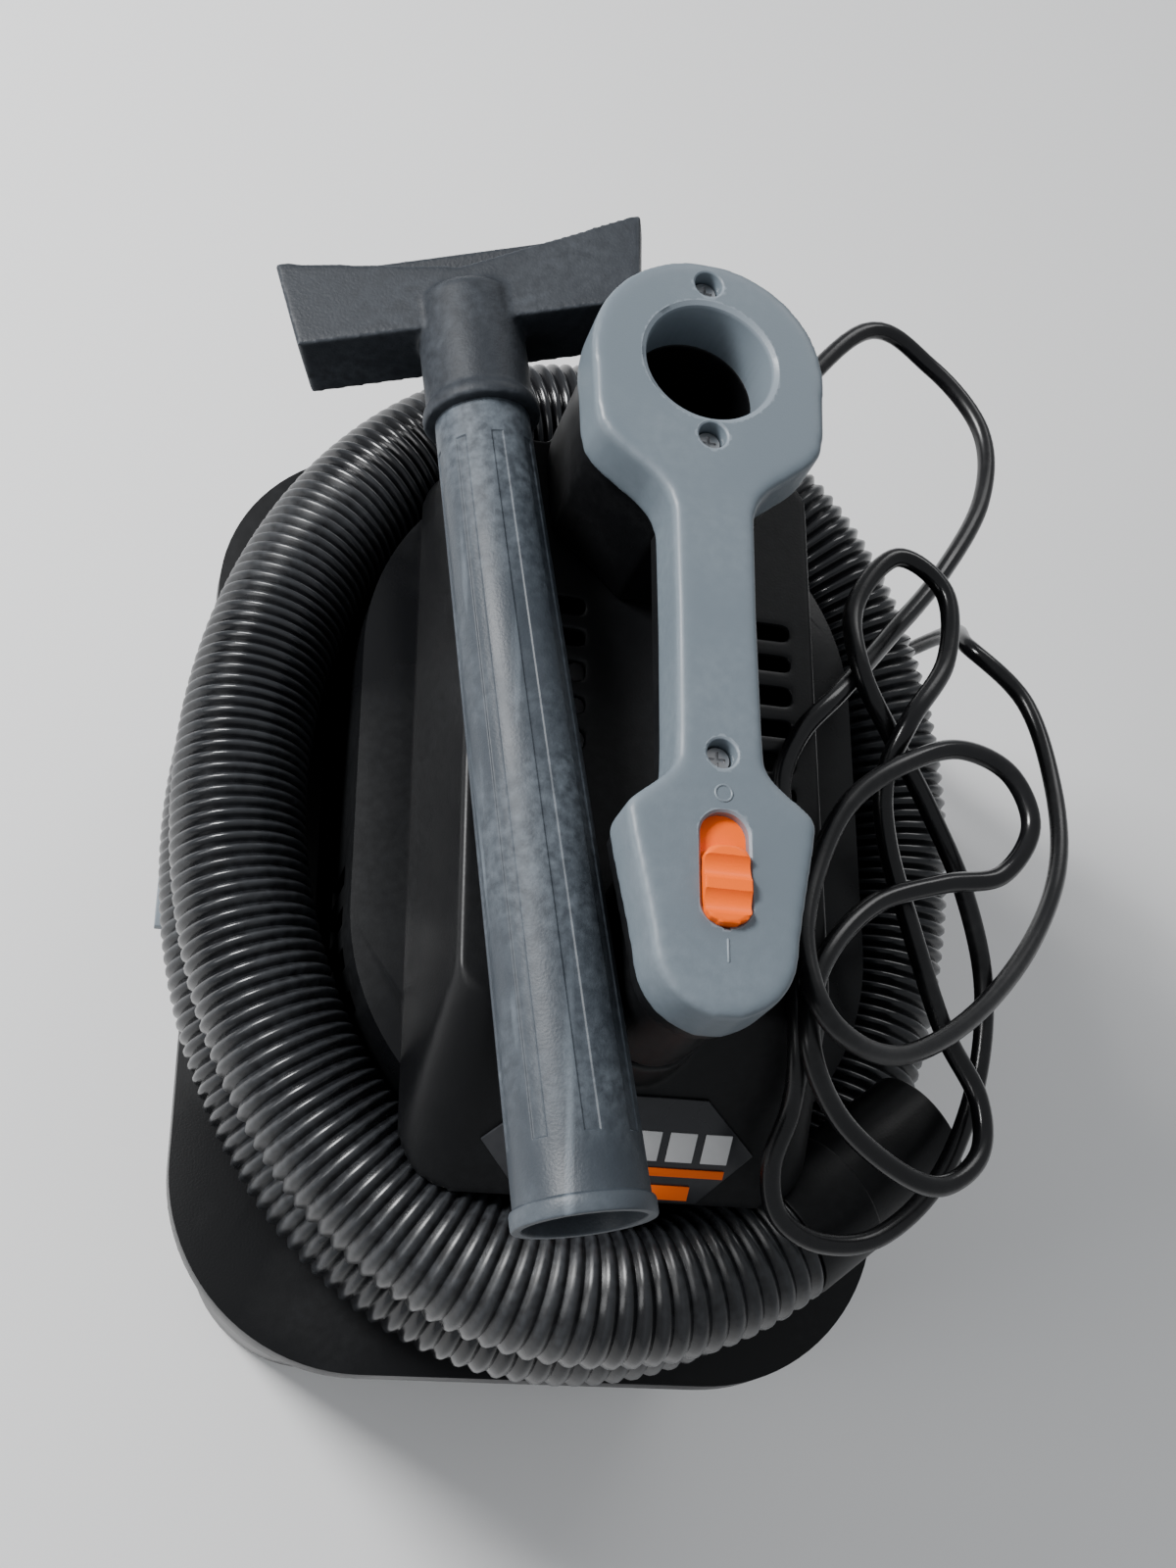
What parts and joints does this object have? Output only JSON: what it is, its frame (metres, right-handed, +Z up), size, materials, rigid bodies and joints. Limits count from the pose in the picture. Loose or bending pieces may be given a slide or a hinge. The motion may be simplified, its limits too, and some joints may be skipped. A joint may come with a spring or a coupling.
{
  "type": "shop vacuum",
  "caption": "Compact carry-type wet and dry shop vacuum with a ring-ended top handle, slide switch, corrugated hose wound round the head, tapered wand, wide nozzle and power cord.",
  "frame": {"origin": "centre of the tank's footprint on the floor", "axes": "+Z up, the front of the vacuum (switch end of the handle) looks along -Y, +X to its left-hand side seen from behind the front"},
  "size_m": [0.3896, 0.5809, 0.4337],
  "materials": {
    "black_plastic": "fine moulded texture, satin",
    "grey_plastic": "soft-touch satin",
    "orange_plastic": "satin",
    "tool_plastic": "worn, grained",
    "hose_plastic": "semi-gloss corrugated",
    "rubber": "matte",
    "cord_jacket": "glossy vinyl jacket",
    "steel": "zinc plated",
    "blade_metal": "plain",
    "cast_metal": "as cast",
    "winding": "enamelled copper",
    "carbon": "matte",
    "foam": "open-cell foam",
    "filter_paper": "pleated paper",
    "white_plastic": "smooth",
    "badge_plastic": "printed film"
  },
  "bodies": {
    "tank": {"tank": "black_plastic", "tank_feet": "rubber"},
    "rotor": {"motor_shaft": "steel", "armature": "winding", "impeller": "cast_metal", "fan_nut": "steel"},
    "float": {"float_ball": "white_plastic"},
    "filter_nut": {"filter_nut": "orange_plastic"},
    "switch_button": {"switch_button": "orange_plastic"},
    "latch_left": {"latch_left": "grey_plastic"},
    "latch_right": {"latch_right": "grey_plastic"},
    "wand": {"wand": "tool_plastic"},
    "nozzle": {"nozzle": "tool_plastic"},
    "head": {"lid": "black_plastic", "lid_gasket": "rubber", "deck": "black_plastic", "motor_cover": "black_plastic", "cover_screws": "steel", "handle_base": "black_plastic", "grip_underside": "black_plastic", "handle_pillar": "black_plastic", "handle_top": "grey_plastic", "handle_screws": "steel", "switch_body": "carbon", "impeller_housing": "cast_metal", "motor_can": "cast_metal", "field_winding": "winding", "carbon_brushes": "carbon", "bearing_lower": "steel", "bearing_upper": "steel", "sound_foam": "foam", "filter_cage": "black_plastic", "filter": "filter_paper", "filter_retainer": "black_plastic", "inlet_port": "black_plastic", "inlet_deflector": "black_plastic", "front_badge": "badge_plastic", "badge_stripe": "orange_plastic", "latch_pins": "steel", "hose_cuff_inlet": "black_plastic", "hose": "hose_plastic", "hose_cuff_free": "black_plastic", "strain_relief": "cord_jacket", "power_cord": "cord_jacket", "cord_coil": "cord_jacket", "plug_body": "cord_jacket", "plug_blades": "blade_metal"}
  },
  "joints": [
    {"name": "head_lift", "type": "slide", "parent": "tank", "child": "head", "axis": [0, 0, 1], "range_m": [0, 0.2]},
    {"name": "fan_spin", "type": "hinge", "parent": "head", "child": "rotor", "pos_m": [0, 0, 0.24], "axis": [0, 0, 1], "continuous": true},
    {"name": "float_rise", "type": "slide", "parent": "head", "child": "float", "axis": [0, 0, 1], "range_m": [0, 0.05]},
    {"name": "filter_nut_turn", "type": "hinge", "parent": "head", "child": "filter_nut", "pos_m": [0, 0, 0.06], "axis": [0, 0, 1], "continuous": true},
    {"name": "switch_slide", "type": "slide", "parent": "head", "child": "switch_button", "axis": [0, 1, 0], "range_m": [0, 0.008]},
    {"name": "latch_left_swing", "type": "hinge", "parent": "head", "child": "latch_left", "pos_m": [-0.158, 0, 0.172], "axis": [0, 1, 0], "range_deg": [0, 60]},
    {"name": "latch_right_swing", "type": "hinge", "parent": "head", "child": "latch_right", "pos_m": [0.158, 0, 0.172], "axis": [0, -1, 0], "range_deg": [0, 60]},
    {"name": "wand_lift", "type": "slide", "parent": "head", "child": "wand", "axis": [-0.342, 0, 0.9397], "range_m": [0, 0.15]},
    {"name": "nozzle_pull", "type": "slide", "parent": "wand", "child": "nozzle", "axis": [-0.135, 0.9908, 0], "range_m": [0, 0.06]}
  ]
}
